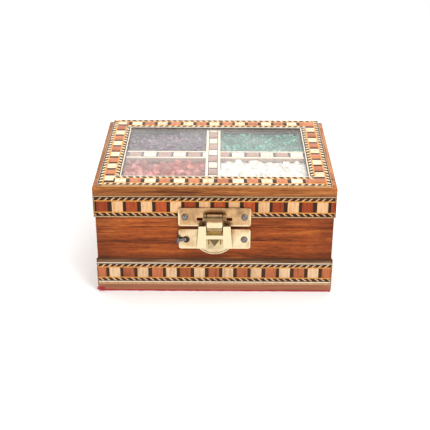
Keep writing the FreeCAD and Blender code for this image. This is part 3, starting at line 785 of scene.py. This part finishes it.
class StripMaker:
    """Lays one marquetry strip flat: X along it, Y across it, faces at z 0."""
    dash_share = 0.78
    lean = 0.55
    slip = 0.22 * MM
    woods = ("light", "red", "black")

    def __init__(self, run, width, depth, seed, core="core"):
        self.inlay = bpy.context.scene.box_inlay
        self.span = (0.0, run)
        self.seed = seed
        self.across = 0.0
        self.depth = self.inlay.piece_depth
        self.dash_length = self.inlay.dash_length
        self.meshes = [plain_strip((0, 0, -depth), (run, width, -self.depth), core)]

    def row(self, size, lean, pitch, first, finish):
        """Row of equal cut pieces at the current place across the strip, one of them centred at first."""
        start, stop = self.span
        first = (first - start) % pitch
        if first - pitch + size[0] / 2 > 0:
            first -= pitch
        shape = scratch_object("cut_piece", cut_piece(size, lean))
        carrier = scratch_object("row", bpy.data.meshes.new("row"))
        self.seed += 1
        mesh = evaluated_mesh(carrier, TREES["row"], {
            "Shape": shape, "Length": stop - start, "Pitch": pitch, "First": first, "Piece": size[0],
            "Slip": self.slip, "Seed": self.seed, "Material": MATERIALS[finish],
        })
        mesh.transform(Matrix.Translation((start, self.across, 0)))
        trim_ends(mesh, start, stop)
        self.meshes.append(mesh)
        for helper in (shape, carrier):
            bpy.data.objects.remove(helper)

    def line(self, width, finish, drop=0.0):
        """Continuous strip at the current place across."""
        low = (self.span[0], self.across, -self.depth)
        high = (self.span[1], self.across + width, -drop)
        self.meshes.append(plain_strip(low, high, finish))

    def thread(self, width, finish):
        """Continuous strip, then step across it."""
        self.line(width, finish)
        self.across += width

    def rope(self, lean_way, dashes_low):
        """Black strip with light slanted dashes let into one side of it."""
        width, pitch = self.inlay.rope_width, self.inlay.dash_pitch
        light, _dark, ground = self.woods
        self.line(width, ground, self.inlay.glue_gap)
        reach = width * self.dash_share
        start = 0 if dashes_low else width - reach
        self.across += start
        first = pitch * random.Random(self.seed).random()
        self.row((self.dash_length, reach, self.depth), lean_way * pitch * self.lean, pitch, first, light)
        self.across += width - start

    def blocks(self, width, light_first, pitch, kinds):
        """Light and dark blocks with black spacers, light_first being the centre of a light block."""
        self.line(width, self.woods[2], self.inlay.glue_gap)
        for number, (piece, finish) in enumerate(kinds):
            self.row((piece, width, self.depth), 0, pitch, light_first + number * pitch / 2, finish)
        self.across += width

    def band(self, total, light_first, lean, edges, thread, spans=None):
        """Line, rope, thread, blocks, thread, rope and line; edges are (line width, finish)."""
        (low_line, low_finish), (high_line, high_finish) = edges
        low_span, block_span, high_span = spans or [self.span] * 3
        self.span = low_span
        self.thread(low_line, low_finish)
        self.rope(lean, False)
        self.thread(thread, "orange")
        self.span = block_span
        kinds = ((self.inlay.light_length, self.woods[0]), (self.inlay.red_length, self.woods[1]))
        borders = low_line + high_line + 2 * (self.inlay.rope_width + thread)
        self.blocks(total - borders, light_first, self.inlay.pitch, kinds)
        self.span = high_span
        self.thread(thread, "orange")
        self.rope(-lean, True)
        self.thread(high_line, high_finish)

    def finish(self, name, place, body, node):
        """Join the rows, keep each point's place on the strip, and set the strip in the box as a piece."""
        mesh = join_meshes(name, self.meshes)
        kept = mesh.attributes.new("strip_place", "FLOAT_VECTOR", "POINT")
        kept.data.foreach_set("vector", [c for vert in mesh.vertices for c in vert.co])
        mesh.transform(place)
        smooth_by_angle(mesh, ROUND_ANGLE)
        new_piece(name, mesh, body, "inlay", node)


def frame_on(origin, along, across):
    """Matrix that takes strip coordinates to the box."""
    along, across = Vector(along), Vector(across)
    rows = Matrix((along, across, along.cross(across))).transposed().to_4x4()
    return Matrix.Translation(origin) @ rows


def wall_frame(side, low, high):
    """Strip frame on the outer face of one side, Y upwards from the bottom."""
    x, y, along = {
        "front": (low.x, low.y, (1, 0, 0)),
        "right": (high.x, low.y, (0, 1, 0)),
        "back": (high.x, high.y, (-1, 0, 0)),
        "left": (low.x, high.y, (0, -1, 0)),
    }[side]
    return frame_on((x, y, low.z), along, (0, 0, 1))


def flat_frame(node, lengthwise):
    """Length, width, depth and frame of a strip that lies along X or Y."""
    low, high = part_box(node)
    size = high - low
    if lengthwise:
        return size.x, size.y, size.z, frame_on((low.x, low.y, high.z), (1, 0, 0), (0, 1, 0))
    return size.y, size.x, size.z, frame_on((high.x, low.y, high.z), (0, 1, 0), (-1, 0, 0))


class MakerOperator:
    """Shared options of the operators."""
    bl_options = {"REGISTER", "UNDO"}


class BOX_OT_boards(MakerOperator, bpy.types.Operator):
    """Walls, base and top rails of oiled rosewood"""
    bl_idname = "inlaid_box.boards"
    bl_label = "Boards"

    def execute(self, context):
        for side in SIDES:
            grain = "board_x" if side in ("front", "back") else "board_y"
            for node in ("body_%s_wall", "lid_%s_wall"):
                board_piece(node % side, grain, "walnut")
            self.rail("lid_%s_rail" % side, grain.replace("board", "rail"))
        low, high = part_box("base_board")
        low.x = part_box("body_left_band")[0].x
        low.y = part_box("body_front_band")[0].y
        high.x, high.y = -low.x, -low.y
        board_piece("base_board", "base", "walnut", (low, high))
        return {"FINISHED"}

    def rail(self, node, finish):
        """Top board rail: worn outer edges, and a dark colour on the inner edge of the window as painted
        shade.
        """
        near = 0.2 * MM
        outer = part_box("lid_front_rail")[0]
        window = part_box("lid_right_rail")[0].x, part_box("lid_back_rail")[0].y
        bm = finished_copy(node, 0)
        for face in bm.faces:
            middle = face.calc_center_median()
            inside = abs(middle.x) < window[0] + near and abs(middle.y) < window[1] + near
            # Faces on the window's inner edge take the dark wood, as painted shade.
            face.material_index = int(inside and abs(face.normal.z) < 0.5)
        rim = {v for v in bm.verts if abs(v.co.x) > -outer.x - near or abs(v.co.y) > -outer.y - near}
        worn = [edge for edge in bm.edges if rim.issuperset(edge.verts)]
        round_off(bm, worn, bpy.context.scene.box_wood.rail_round, 3)
        smooth_piece(bm, node + "_board", [finish, "painted_shade"], BOARD_ANGLE, "lid", "walnut", node)


class BOX_OT_tray(MakerOperator, bpy.types.Operator):
    """Tray walls, floor and divider boards"""
    bl_idname = "inlaid_box.tray"
    bl_label = "Tray"

    boards = {
        "lining_x": ("tray_front_wall", "tray_back_wall", "tray_floor"),
        "lining_y": ("tray_left_wall", "tray_right_wall"),
        "divider_x": ("left_cross_divider", "right_cross_divider"),
        "divider_y": ("centre_divider",),
    }

    def execute(self, context):
        for finish, nodes in self.boards.items():
            for node in nodes:
                board_piece(node, finish, "tray_wood")
        return {"FINISHED"}


class BOX_OT_bands(MakerOperator, bpy.types.Operator):
    """Marquetry bands round the lid and the body"""
    bl_idname = "inlaid_box.bands"
    bl_label = "Bands"

    foot_height = 1.7 * MM
    light_first = {
        "lid": {"front": 14.7, "right": 6.0, "back": 9.0, "left": 12.0},
        "body": {"front": 11.2, "right": 4.0, "back": 13.0, "left": 8.0},
    }
    woods = {"lid": ("tan", "red", "black"), "body": ("worn_tan", "worn_red", "worn_black")}
    lines = {"lid": "line", "body": "pale"}
    first_seed = {"lid": 100, "body": 300}

    def execute(self, context):
        for number, side in enumerate(SIDES):
            for part in ("lid", "body"):
                self.band(part, side, self.first_seed[part] + SEED_STEP * number)
        return {"FINISHED"}

    def band(self, part, side, seed):
        """Band on one side; the body's one has a plain foot and a sloped edging."""
        inlay = bpy.context.scene.box_inlay
        node = "%s_%s_band" % (part, side)
        low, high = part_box(node)
        size = high - low
        run, depth = max(size.x, size.y), min(size.x, size.y)
        edged = part == "body"
        height = size.z - EDGING_HEIGHT if edged else size.z
        maker = StripMaker(run, height, depth, seed)
        maker.woods = self.woods[part]
        if edged:
            maker.thread(self.foot_height, "foot")
        edges = [(inlay.line_width, self.lines[part])] * 2
        first = self.light_first[part][side] * MM
        maker.band(height - maker.across, first, -1, edges, inlay.thread_width)
        if edged:
            maker.meshes.append(sloped_edge(run, maker.across, EDGING_HEIGHT, depth))
        maker.finish(node + "_inlay", wall_frame(side, low, high), part, node)


def sloped_edge(run, across, height, depth):
    """Bevelled edging above the body's band."""
    upright, cut_back = height * 0.25, -depth * 0.88
    bm = bmesh.new()
    section = [(0, 0), (upright, 0), (height, cut_back), (height, -depth), (0, -depth)]
    ends = [[bm.verts.new((x, across + y, z)) for y, z in section] for x in (0, run)]
    bm.faces.new(ends[0])
    bm.faces.new(reversed(ends[1]))
    for i in range(len(section)):
        j = (i + 1) % len(section)
        bm.faces.new((ends[0][j], ends[0][i], ends[1][i], ends[1][j]))
    bmesh.ops.recalc_face_normals(bm, faces=bm.faces)
    return mesh_from(bm, "sloped_edge", "edging")


class BOX_OT_top_inlay(MakerOperator, bpy.types.Operator):
    """Raised marquetry frame round the glass"""
    bl_idname = "inlaid_box.top_inlay"
    bl_label = "Top inlay"

    first_seed = 500
    dash_lean = 0.3
    light_first = {"front": 0.55, "right": 16.4, "back": 3.35, "left": 9.7}

    def execute(self, context):
        inlay = context.scene.box_inlay
        border = inlay.glass_line + inlay.rope_width + inlay.top_thread
        for number, side in enumerate(SIDES):
            node = "top_%s_inlay" % side
            lengthwise = side in ("front", "back")
            run, width, depth, place = flat_frame(node, lengthwise)
            if lengthwise:
                middle = (-border, run + border)
                spans = [(border - width, run + width - border), middle, middle]
            else:
                spans = [(0, run), (border, run - border), (width, run - width)]
            lines = [(inlay.top_line, "line"), (inlay.glass_line, "pale")]
            if side in ("back", "left"):
                spans.reverse()
                lines.reverse()
            # The back strip's inner edge, facing forward, has a black core as painted shade.
            core = "black" if side == "back" else "core"
            maker = StripMaker(run, width, depth, self.first_seed + SEED_STEP * number, core)
            maker.dash_length = inlay.top_dash_length
            maker.lean = self.dash_lean
            maker.woods = ("light", "faded_red", "black")
            maker.band(width, self.light_first[side] * MM, 1, lines, inlay.top_thread, spans)
            maker.finish(node + "_marquetry", place, "lid", node)
        return {"FINISHED"}


class BOX_OT_divider_caps(MakerOperator, bpy.types.Operator):
    """Inlaid strips on the tray's dividers"""
    bl_idname = "inlaid_box.divider_caps"
    bl_label = "Divider caps"

    first_seed = 700
    light_first = {"centre_divider_cap": 18.85, "left_cross_cap": 15.25, "right_cross_cap": 11.5}

    def execute(self, context):
        inlay = context.scene.box_inlay
        kinds = ((inlay.cap_block, "pale"), (inlay.cap_block, "faded"))
        edges = [(inlay.cap_edge, "pale"), (inlay.cap_thread, "black")]
        border = inlay.cap_edge + inlay.cap_thread
        for number, (node, first) in enumerate(self.light_first.items()):
            run, width, depth, place = flat_frame(node, node != "centre_divider_cap")
            maker = StripMaker(run, width, depth, self.first_seed + SEED_STEP * number, "dust_and_shade")
            for edge in edges:
                maker.thread(*edge)
            maker.blocks(width - 2 * border, first * MM, inlay.cap_pitch, kinds)
            for edge in reversed(edges):
                maker.thread(*edge)
            maker.finish(node + "_marquetry", place, "body", node)
        return {"FINISHED"}


def broken_piece(seed, points):
    """Convex broken lump about one unit across."""
    draw = random.Random(seed)
    bm = bmesh.new()
    for _ in range(points):
        way = Vector((draw.gauss(0, 1), draw.gauss(0, 1), draw.gauss(0, 0.8))).normalized()
        bm.verts.new(way * draw.uniform(0.38, 0.56))
    hull = bmesh.ops.convex_hull(bm, input=bm.verts)
    spare = hull["geom_interior"] + hull["geom_unused"]
    loose = {item for item in spare if isinstance(item, bmesh.types.BMVert)}
    bmesh.ops.delete(bm, geom=list(loose), context="VERTS")
    return mesh_from(bm, "broken_piece")


def heap_surface(node):
    """Upper faces of a CAD heap, without its straight sides and shoulder."""
    shoulder = 4 * MM
    bm = cad_copy(node)
    top = max(vert.co.z for vert in bm.verts)
    low = [f for f in bm.faces if f.normal.z < 0.3 or f.calc_center_median().z < top - shoulder]
    bmesh.ops.delete(bm, geom=low, context="FACES")
    return mesh_from(bm, "heap_surface")


class BOX_OT_contents(MakerOperator, bpy.types.Operator):
    """Four heaps of loose pieces in the tray"""
    bl_idname = "inlaid_box.contents"
    bl_label = "Contents"

    first_seed = 900
    seed_step = 10
    lump_kinds = 6
    smallest, largest, sink = 0.65, 1.3, 0.22
    bed_tone = 0.1

    def execute(self, context):
        fill = context.scene.box_fill
        fine = (fill.grain_size, 0.62, 11)
        coarse = (fill.chunk_size, 0.6, 16)
        for number, (node, finish, kind) in enumerate((
            ("back_left_purple_granules", "purple", fine),
            ("back_right_green_granules", "green", fine),
            ("front_left_red_chunks", "red_chunks", coarse),
            ("front_right_white_chunks", "white_chunks", coarse),
        )):
            self.heap(node, finish, kind, self.first_seed + self.seed_step * number)
        return {"FINISHED"}

    def heap(self, node, finish, kind, seed):
        """Solid bed with lumps scattered over it; kind is (size, spacing in sizes, corners of a lump)."""
        size, spacing, points = kind
        lumps = bpy.data.collections.new("lumps")
        shapes = [broken_piece(seed + i, points) for i in range(self.lump_kinds)]
        helpers = [bpy.data.objects.new("lump", shape) for shape in shapes]
        for helper in helpers:
            lumps.objects.link(helper)
        bed = mesh_from(cad_copy(node), node + "_bed", finish)
        set_tone(bed, self.bed_tone)
        carrier = scratch_object("heap_surface", heap_surface(node))
        scattered = evaluated_mesh(carrier, TREES["heap"], {
            "Pieces": lumps, "Distance": size * spacing, "Smallest": size * self.smallest,
            "Largest": size * self.largest, "Sink": size * self.sink, "Seed": seed,
            "Material": MATERIALS[finish],
        })
        mesh = join_meshes(node + "_heap", [bed, scattered])
        for helper in (carrier, *helpers):
            bpy.data.objects.remove(helper)
        bpy.data.collections.remove(lumps)
        new_piece(node + "_heap", mesh, "body", node.split("_", 2)[2], node)


class BOX_OT_glass(MakerOperator, bpy.types.Operator):
    """Pane of hazy glass in the lid, its haze partly a dusty film and partly a painted reflection"""
    bl_idname = "inlaid_box.glass"
    bl_label = "Glass"

    def execute(self, context):
        bevel = 0.2 * MM
        mesh = mesh_from(block(*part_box("glass_pane"), bevel), "glass_pane_sheet", "glass")
        new_piece("glass_pane_sheet", mesh, "lid", "glass", "glass_pane")
        return {"FINISHED"}


class BOX_OT_felt(MakerOperator, bpy.types.Operator):
    """Red felt glued under the base, with a frayed edge"""
    bl_idname = "inlaid_box.felt"
    bl_label = "Felt"

    seed = 41
    cuts = 60
    shortest_cut_edge = 5 * MM
    locks = 40

    def execute(self, context):
        low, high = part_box("base_felt")
        bm = block(low, high)
        long_edges = [e for e in bm.edges if e.calc_length() > self.shortest_cut_edge]
        bmesh.ops.subdivide_edges(bm, edges=long_edges, cuts=self.cuts, use_grid_fill=True)
        draw = random.Random(self.seed)
        middle = (low + high) / 2
        for vert in bm.verts:
            for axis in (0, 1):
                away = vert.co[axis] - middle[axis]
                if abs(abs(away) - (high[axis] - middle[axis])) < 1e-6:
                    vert.co[axis] += math.copysign(draw.uniform(-0.1, 0.35) * MM, away)
        mesh = mesh_from(bm, "base_felt_sheet", "felt")
        felt = new_piece("base_felt_sheet", mesh, "body", "felt", "base_felt")
        self.tuft(Vector((low.x, low.y, high.z)), draw)
        return {"FINISHED"}

    def tuft(self, corner, draw):
        """Wool teased out of the felt at one corner."""
        bm = bmesh.new()
        for _lock in range(self.locks):
            reach = Vector((draw.uniform(-0.9, 3.6), draw.uniform(-1.0, 0.2), draw.uniform(-0.4, 1.9))) * MM
            radius = draw.uniform(0.35, 0.75) * MM
            stretch = Matrix.Diagonal((draw.uniform(0.8, 1.6), 0.8, 0.7, 1))
            place = Matrix.Translation(corner + reach) @ stretch
            bmesh.ops.create_icosphere(bm, subdivisions=1, radius=radius, matrix=place)
        smooth_piece(bm, "felt_tuft", ["felt"], WOOL_ANGLE, "body", "felt")


class BOX_OT_catch(MakerOperator, bpy.types.Operator):
    """Brass plates, bridge and tongue of the catch"""
    bl_idname = "inlaid_box.catch"
    bl_label = "Catch"

    stud_top = 42 * MM
    stud_spread = 1.25
    stud_stretch = 0.8 * MM
    point_lift = 0.45 * MM
    point_drop = 1.3 * MM
    lobe_sink = 0.4 * MM
    lobe_centre = 41 * MM
    lobe_top = 34 * MM
    lobe_discs = ((13.2 * MM, 0.8 * MM), (12.6 * MM, 0.9 * MM))

    def execute(self, context):
        edge = context.scene.box_catch.edge_round
        for node in ("catch_upper_plate", "catch_lower_plate", "catch_tongue_pin"):
            dress_copy(node, "brass", edge, "brass")
        self.tongue(edge)
        self.lobe()
        return {"FINISHED"}

    def tongue(self, edge):
        """Tongue with its stud drawn out to the edges of the tab, the point low down."""
        bm = finished_copy("catch_tongue", edge)
        point = min((v for v in bm.verts if v.co.z < self.stud_top), key=lambda v: v.co.y)
        for corner in [e.other_vert(point) for e in point.link_edges]:
            corner.co.x *= self.stud_spread
            corner.co.z += math.copysign(self.stud_stretch, corner.co.z - point.co.z)
        point.co.y -= self.point_lift
        point.co.z -= self.point_drop
        smooth_piece(bm, "catch_tongue_finish", ["brass"], METAL_ANGLE, "tongue", "brass", "catch_tongue")

    def lobe(self):
        """Half-round lobe below the lower plate, its middle a darker brass as painted shade from the bridge,
        with a bright rim.
        """
        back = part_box("catch_lower_plate")[1].y
        place = Matrix.Translation((0, back - self.lobe_sink, self.lobe_centre)) @ UPRIGHT
        bm = bmesh.new()
        # The inner disc takes the darker brass as painted shade.
        for index, (radius, depth) in enumerate(self.lobe_discs):
            add_round(bm, radius, depth, place, segments=64, material_index=index)
        saw_off(bm, (0, 0, self.lobe_top), (0, 0, 1))
        smooth_piece(bm, "catch_lobe", ["brass", "shaded_brass"], ROUND_ANGLE, "body", "brass")


class BOX_OT_nails(MakerOperator, bpy.types.Operator):
    """Iron nails of the catch and hinges"""
    bl_idname = "inlaid_box.nails"
    bl_label = "Nails"

    edge_round = 0.25 * MM
    hole = Vector((-18.2, -53.5, 38.5)) * MM
    bent_head = Vector((-22.8, -55.6, 38.8)) * MM
    hole_shift = Vector((0.4, 0, 0)) * MM
    hole_radius = 2.2 * MM
    hole_rim = 0.3 * MM
    head_radius = 2.1 * MM
    head_flatness = 0.42
    shank_radius = 1.0 * MM

    def execute(self, context):
        for node in ("catch_upper_nails", "hinge_lid_nails", "hinge_body_nails"):
            dress_copy(node, "iron", self.edge_round, "iron", 2)
        self.lower_nails("catch_lower_nails")
        return {"FINISHED"}

    def lower_nails(self, node):
        """Right nail driven home, left nail bent over to the left out of its hole."""
        bm = finished_copy(node, self.edge_round, 2)
        bmesh.ops.delete(bm, geom=[v for v in bm.verts if v.co.x < 0], context="VERTS")
        reach = self.bent_head - self.hole
        lean = reach.to_track_quat("Z", "Y").to_matrix().to_4x4()
        shank = Matrix.Translation((self.bent_head + self.hole) / 2) @ lean
        add_round(bm, self.shank_radius, reach.length, shank, segments=20, taper=0.9)
        flat = Matrix.Translation(self.bent_head) @ lean @ Matrix.Diagonal((1, 1, self.head_flatness, 1))
        bmesh.ops.create_uvsphere(bm, u_segments=24, v_segments=12, radius=self.head_radius, matrix=flat)
        # The empty nail hole is a thin dark disc, as painted shade.
        rim = Matrix.Translation(self.hole + self.hole_shift) @ UPRIGHT
        add_round(bm, self.hole_radius, self.hole_rim, rim, segments=28, material_index=1)
        smooth_piece(bm, node + "_finish", ["iron", "painted_shade"], ROUND_ANGLE, "body", "iron", node)


class BOX_OT_hinges(MakerOperator, bpy.types.Operator):
    """Brass butt hinges at the back"""
    bl_idname = "inlaid_box.hinges"
    bl_label = "Hinges"

    edge_round = 0.12 * MM

    def execute(self, context):
        for node in ("hinge_lid_leaves", "hinge_body_leaves", "hinge_pins"):
            dress_copy(node, "brass", self.edge_round, "brass", 2)
        return {"FINISHED"}


def soft_light(name, place, target, size, power):
    """Square area lamp aimed at a point."""
    lamp = bpy.data.lights.new(name, "AREA")
    lamp.size = size
    lamp.energy = power
    holder = scratch_object(name, lamp)
    holder.location = place
    holder.rotation_euler = (Vector(target) - Vector(place)).to_track_quat("-Z", "Y").to_euler()


class BOX_OT_stage(MakerOperator, bpy.types.Operator):
    """Pale floor, soft studio light and the camera"""
    bl_idname = "inlaid_box.stage"
    bl_label = "Stage"

    floor_reach = 3.0
    shadow_reach = 0.25
    white_reach = 0.7
    shadow_share = 0.92
    world_strength = 0.34
    camera_place = Vector((4.0, -565.3, 326.4)) * MM
    camera_pitch = math.radians(27.86)
    camera_yaw = math.radians(-0.42)
    camera_roll = math.radians(0.11)

    def execute(self, context):
        self.floor(context.scene.box_stage.floor)
        self.world(context)
        target = (0, 0, 0.04)
        soft_light("key_softbox", (0.55, -0.55, 0.95), target, 0.6, 9.0)
        soft_light("top_softbox", (-0.1, 0.25, 1.1), target, 0.9, 9.0)
        soft_light("back_softbox", (0, 1.15, 0.62), target, 0.9, 5.0)
        soft_light("front_fill", (-0.6, -0.95, 0.35), target, 0.5, 3.0)
        self.camera(context)
        context.scene.view_settings.view_transform = "Standard"
        return {"FINISHED"}

    def floor(self, rgb):
        """Pale floor that fades to pure white away from the box."""
        look = Surface("pale_floor")
        glow = look.add("ShaderNodeEmission", {"Color": opaque(WHITE), "Strength": 1.0})
        away = look.node("ShaderNodeVectorMath", {0: look.place}, operation="LENGTH").outputs["Value"]
        fade = look.remap(away, (self.shadow_reach, self.white_reach), (1 - self.shadow_share, 1.0))
        share = look.math("MULTIPLY", look.seen_directly(), fade)
        mixed = look.add("ShaderNodeMixShader", {0: share, 1: look.shader.outputs[0], 2: glow})
        look.fill(look.output, {"Surface": mixed})
        MATERIALS["floor"] = look.done({"Base Color": opaque(rgb), "Roughness": 0.9})
        bm = bmesh.new()
        bmesh.ops.create_grid(bm, x_segments=1, y_segments=1, size=self.floor_reach)
        ground = scratch_object("floor", mesh_from(bm, "floor", "floor"))

    def world(self, context):
        """White sky to the eye, dimmer as a light."""
        world = bpy.data.worlds.new("studio")
        context.scene.world = world
        world.use_nodes = True
        sky = NodeMaker(world.node_tree)
        sky.tree.nodes.clear()
        strength = sky.remap(sky.seen_directly(), (0.0, 1.0), (self.world_strength, 1.0))
        light = sky.add("ShaderNodeBackground", {"Color": opaque(WHITE), "Strength": strength})
        sky.node("ShaderNodeOutputWorld", {0: light})

    def camera(self, context):
        """Camera in the place that the photo was taken from."""
        camera = bpy.data.cameras.new("photo_camera")
        camera.lens = context.scene.box_stage.lens
        camera.sensor_width = 36
        holder = scratch_object("photo_camera", camera)
        turn = Matrix.Rotation(-self.camera_yaw, 4, "Z")
        turn @= Matrix.Rotation(math.pi / 2 - self.camera_pitch, 4, "X")
        turn @= Matrix.Rotation(self.camera_roll, 4, "Z")
        holder.matrix_world = Matrix.Translation(self.camera_place) @ turn
        context.scene.camera = holder


OPERATORS = (
    BOX_OT_boards, BOX_OT_tray, BOX_OT_bands, BOX_OT_top_inlay, BOX_OT_divider_caps, BOX_OT_contents,
    BOX_OT_glass, BOX_OT_felt, BOX_OT_catch, BOX_OT_nails, BOX_OT_hinges, BOX_OT_stage,
)
SETTINGS = {
    "box_wood": BoxWoodSettings, "box_inlay": InlaySettings, "box_fill": FillSettings,
    "box_catch": CatchSettings, "box_stage": StageSettings,
}


class BOX_PT_panel(bpy.types.Panel):
    """Sidebar panel that lists the box's makers"""
    bl_label = "Inlaid Box"
    bl_idname = "BOX_PT_panel"
    bl_space_type = "VIEW_3D"
    bl_region_type = "UI"
    bl_category = "Inlaid Box"

    def draw(self, context):
        for operator in OPERATORS:
            self.layout.operator(operator.bl_idname)


def register():
    """Register the settings, operators and panel."""
    for name, group in SETTINGS.items():
        bpy.utils.register_class(group)
        setattr(bpy.types.Scene, name, bpy.props.PointerProperty(type=group))
    for item in (*OPERATORS, BOX_PT_panel):
        bpy.utils.register_class(item)


def unregister():
    """Undo register."""
    for item in reversed((*OPERATORS, BOX_PT_panel)):
        bpy.utils.unregister_class(item)
    for name, group in SETTINGS.items():
        delattr(bpy.types.Scene, name)
        bpy.utils.unregister_class(group)


def main():
    """Dress the box."""
    register()
    make_materials()
    TREES["row"] = tessera_row_tree()
    TREES["heap"] = heap_tree()
    for operator in OPERATORS:
        group, name = operator.bl_idname.split(".")
        getattr(getattr(bpy.ops, group), name)()


if __name__ == "__main__":
    main()
